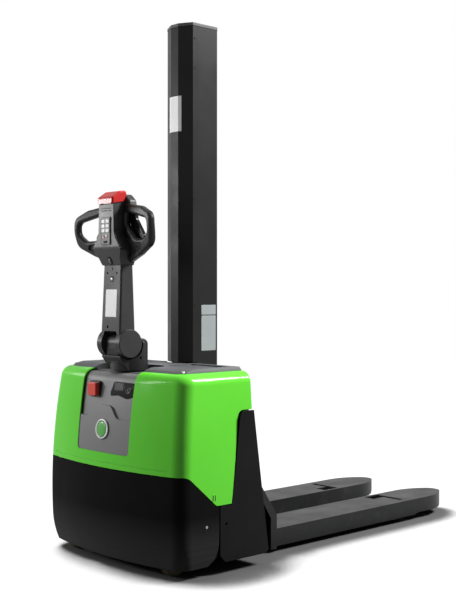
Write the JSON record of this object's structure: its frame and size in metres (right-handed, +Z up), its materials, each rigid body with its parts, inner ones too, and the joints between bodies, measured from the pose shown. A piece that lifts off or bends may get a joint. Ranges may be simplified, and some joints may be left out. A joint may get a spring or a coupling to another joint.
{
  "type": "pedestrian electric stacker",
  "caption": "Walk-behind electric fork stacker: rounded two-tone body, one tall mast column, lifting pallet forks over support legs, and a steering tiller with loop grips.",
  "frame": {"origin": "on the floor, in the middle of the truck's overall box", "axes": "+X across the truck to the operator's left seen from the forks' tips, +Y along the truck towards the forks' tips, +Z up"},
  "size_m": [0.78, 1.706, 1.975],
  "materials": {
    "green_cover": "glossy moulded cover",
    "black_cover": "fine grained moulded skirt",
    "dark_frame": "satin dark powder coat",
    "fork_paint": "satin dark grey paint",
    "mast_paint": "satin dark grey powder coat",
    "panel_grey": "fine grained moulding",
    "tray_grey": "fine grained moulding",
    "arm_grey": "satin paint",
    "head_black": "satin moulding",
    "red_button": "glossy moulding",
    "display_black": "glossy lens",
    "key_grey": "key panel",
    "battery_case": "battery case",
    "steel": "turned steel",
    "chain_steel": "oiled steel",
    "rod_chrome": "hard chrome",
    "polyurethane": "cast polyurethane",
    "roller_grey": "hard tread",
    "cast_hub": "painted casting"
  },
  "bodies": {
    "chassis": {"chassis_frame": "dark_frame", "side_plate_right": "dark_frame", "side_plate_left": "dark_frame", "lower_skirt": "black_cover", "upper_cover": "green_cover", "front_panel": "panel_grey", "stop_switch": "red_button", "display": "display_black", "top_tray": "tray_grey", "battery": "battery_case", "support_leg_right": "dark_frame", "support_leg_left": "dark_frame", "load_axle_right": "steel", "load_axle_left": "steel", "mast_column": "mast_paint", "mast_cover": "mast_paint", "mast_cap": "tray_grey", "lift_cylinder": "dark_frame"},
    "steering": {"turret": "head_black", "pivot_pin": "steel", "drive_unit": "cast_hub"},
    "drive_wheel": {"drive_tyre": "roller_grey", "drive_hub": "cast_hub"},
    "tiller": {"tiller_arm": "arm_grey", "tiller_head": "head_black", "grip_right": "head_black", "grip_left": "head_black", "reverse_button": "red_button", "keypad": "key_grey", "thumb_levers": "display_black"},
    "caster_right": {"caster_fork_right": "steel"},
    "caster_wheel_right": {"caster_wheel_right": "roller_grey"},
    "caster_left": {"caster_fork_left": "steel"},
    "caster_wheel_left": {"caster_wheel_left": "roller_grey"},
    "load_roller_right": {"load_roller_right": "polyurethane"},
    "load_roller_left": {"load_roller_left": "polyurethane"},
    "carriage": {"carriage_frame": "fork_paint", "carriage_rollers": "steel", "fork_right": "fork_paint", "fork_left": "fork_paint", "lift_chain": "chain_steel"},
    "lift_rod": {"lift_rod": "rod_chrome", "chain_sheave": "steel", "fixed_chain": "chain_steel"}
  },
  "joints": [
    {"name": "steer", "type": "hinge", "parent": "chassis", "child": "steering", "pos_m": [0, -0.72, 0.7], "axis": [0, 0, 1], "range_deg": [-80, 80]},
    {"name": "drive_turn", "type": "hinge", "parent": "steering", "child": "drive_wheel", "pos_m": [0, -0.72, 0.115], "axis": [1, 0, 0], "continuous": true},
    {"name": "tiller_tip", "type": "hinge", "parent": "steering", "child": "tiller", "pos_m": [0, -0.764, 0.785], "axis": [1, 0, 0], "range_deg": [0, 80], "stiffness_Nm_per_rad": 40, "springref_deg": -17.19},
    {"name": "caster_swivel_right", "type": "hinge", "parent": "chassis", "child": "caster_right", "pos_m": [0.275, -0.707, 0.13], "axis": [0, 0, 1], "continuous": true},
    {"name": "caster_turn_right", "type": "hinge", "parent": "caster_right", "child": "caster_wheel_right", "pos_m": [0.275, -0.742, 0.05], "axis": [1, 0, 0], "continuous": true},
    {"name": "load_roller_turn_right", "type": "hinge", "parent": "chassis", "child": "load_roller_right", "pos_m": [0.193, 0.51, 0.0375], "axis": [1, 0, 0], "continuous": true},
    {"name": "caster_swivel_left", "type": "hinge", "parent": "chassis", "child": "caster_left", "pos_m": [-0.275, -0.707, 0.13], "axis": [0, 0, 1], "continuous": true},
    {"name": "caster_turn_left", "type": "hinge", "parent": "caster_left", "child": "caster_wheel_left", "pos_m": [-0.275, -0.742, 0.05], "axis": [1, 0, 0], "continuous": true},
    {"name": "load_roller_turn_left", "type": "hinge", "parent": "chassis", "child": "load_roller_left", "pos_m": [-0.193, 0.51, 0.0375], "axis": [1, 0, 0], "continuous": true},
    {"name": "lift", "type": "slide", "parent": "chassis", "child": "carriage", "axis": [0, 0, 1], "range_m": [0, 1.5], "deforming": ["lift_chain"]},
    {"name": "rod_slide", "type": "slide", "parent": "chassis", "child": "lift_rod", "axis": [0, 0, 1], "range_m": [0, 0.75]}
  ],
  "couplings": [
    {"joint": "rod_slide", "follows": "lift", "ratio": 0.5}
  ]
}
